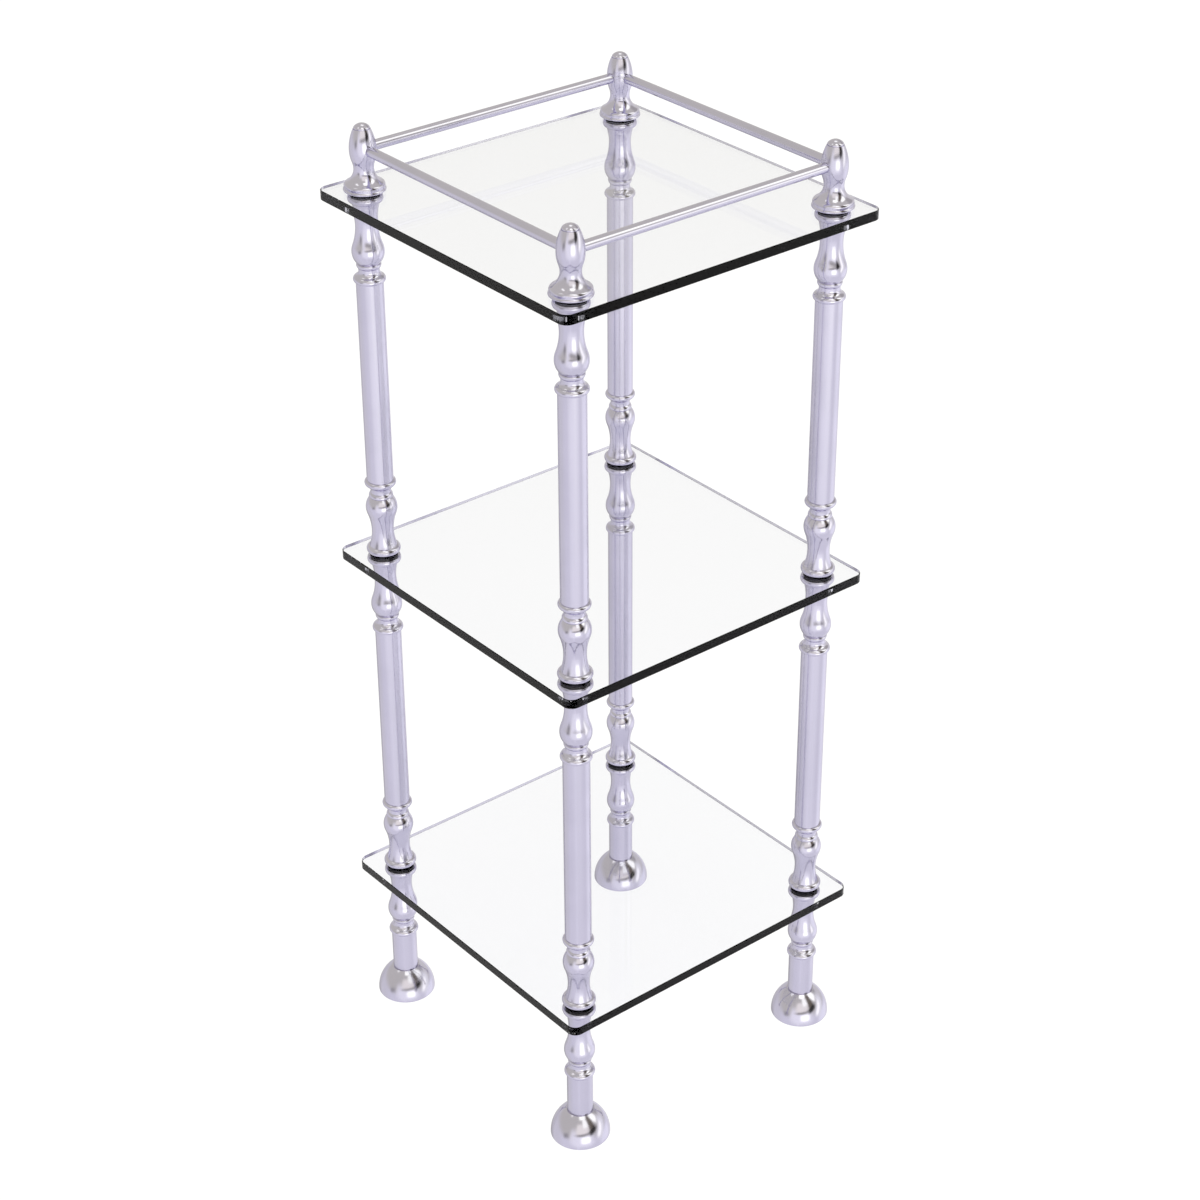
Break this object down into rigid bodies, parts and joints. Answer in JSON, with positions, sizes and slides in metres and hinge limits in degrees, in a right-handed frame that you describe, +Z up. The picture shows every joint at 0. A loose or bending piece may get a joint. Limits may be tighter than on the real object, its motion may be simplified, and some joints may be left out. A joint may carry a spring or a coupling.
{
  "type": "etagere",
  "caption": "Free-standing etagere: square glass shelves clamped between turned metal posts on domed feet, with acorn finials and a low gallery rail round the top shelf.",
  "frame": {"origin": "on the floor, under the middle of the shelves", "axes": "+Z up; -Y is the front, +X the right side seen from the front"},
  "size_m": [0.3556, 0.3556, 0.9592],
  "materials": {
    "polished_chrome": "polished, with a faint lavender cast",
    "satin_chrome": "satin, drawn lengthways",
    "clear_glass": "clear, with polished edges",
    "cushion_rubber": "matt black",
    "fastener_steel": "plain turned steel"
  },
  "bodies": {
    "root": {"glass_shelf_bottom": "clear_glass", "glass_cushions_bottom": "cushion_rubber", "glass_washers_bottom": "cushion_rubber", "studs_bottom": "fastener_steel", "glass_shelf_middle": "clear_glass", "glass_cushions_middle": "cushion_rubber", "glass_washers_middle": "cushion_rubber", "studs_middle": "fastener_steel", "glass_shelf_top": "clear_glass", "glass_cushions_top": "cushion_rubber", "glass_washers_top": "cushion_rubber", "studs_top": "fastener_steel", "collar_bottom_under_front_left": "polished_chrome", "collar_bottom_over_front_left": "polished_chrome", "post_tube_lower_front_left": "satin_chrome", "collar_middle_under_front_left": "polished_chrome", "collar_middle_over_front_left": "polished_chrome", "post_tube_upper_front_left": "satin_chrome", "collar_top_under_front_left": "polished_chrome", "leg_tube_front_left": "satin_chrome", "foot_front_left": "polished_chrome", "finial_front_left": "polished_chrome", "collar_bottom_under_front_right": "polished_chrome", "collar_bottom_over_front_right": "polished_chrome", "post_tube_lower_front_right": "satin_chrome", "collar_middle_under_front_right": "polished_chrome", "collar_middle_over_front_right": "polished_chrome", "post_tube_upper_front_right": "satin_chrome", "collar_top_under_front_right": "polished_chrome", "leg_tube_front_right": "satin_chrome", "foot_front_right": "polished_chrome", "finial_front_right": "polished_chrome", "collar_bottom_under_back_right": "polished_chrome", "collar_bottom_over_back_right": "polished_chrome", "post_tube_lower_back_right": "satin_chrome", "collar_middle_under_back_right": "polished_chrome", "collar_middle_over_back_right": "polished_chrome", "post_tube_upper_back_right": "satin_chrome", "collar_top_under_back_right": "polished_chrome", "leg_tube_back_right": "satin_chrome", "foot_back_right": "polished_chrome", "finial_back_right": "polished_chrome", "collar_bottom_under_back_left": "polished_chrome", "collar_bottom_over_back_left": "polished_chrome", "post_tube_lower_back_left": "satin_chrome", "collar_middle_under_back_left": "polished_chrome", "collar_middle_over_back_left": "polished_chrome", "post_tube_upper_back_left": "satin_chrome", "collar_top_under_back_left": "polished_chrome", "leg_tube_back_left": "satin_chrome", "foot_back_left": "polished_chrome", "finial_back_left": "polished_chrome", "gallery_rail_front": "polished_chrome", "gallery_rail_back": "polished_chrome", "gallery_rail_left": "polished_chrome", "gallery_rail_right": "polished_chrome", "leg_plugs": "fastener_steel", "foot_screws": "fastener_steel"}
  },
  "joints": []
}
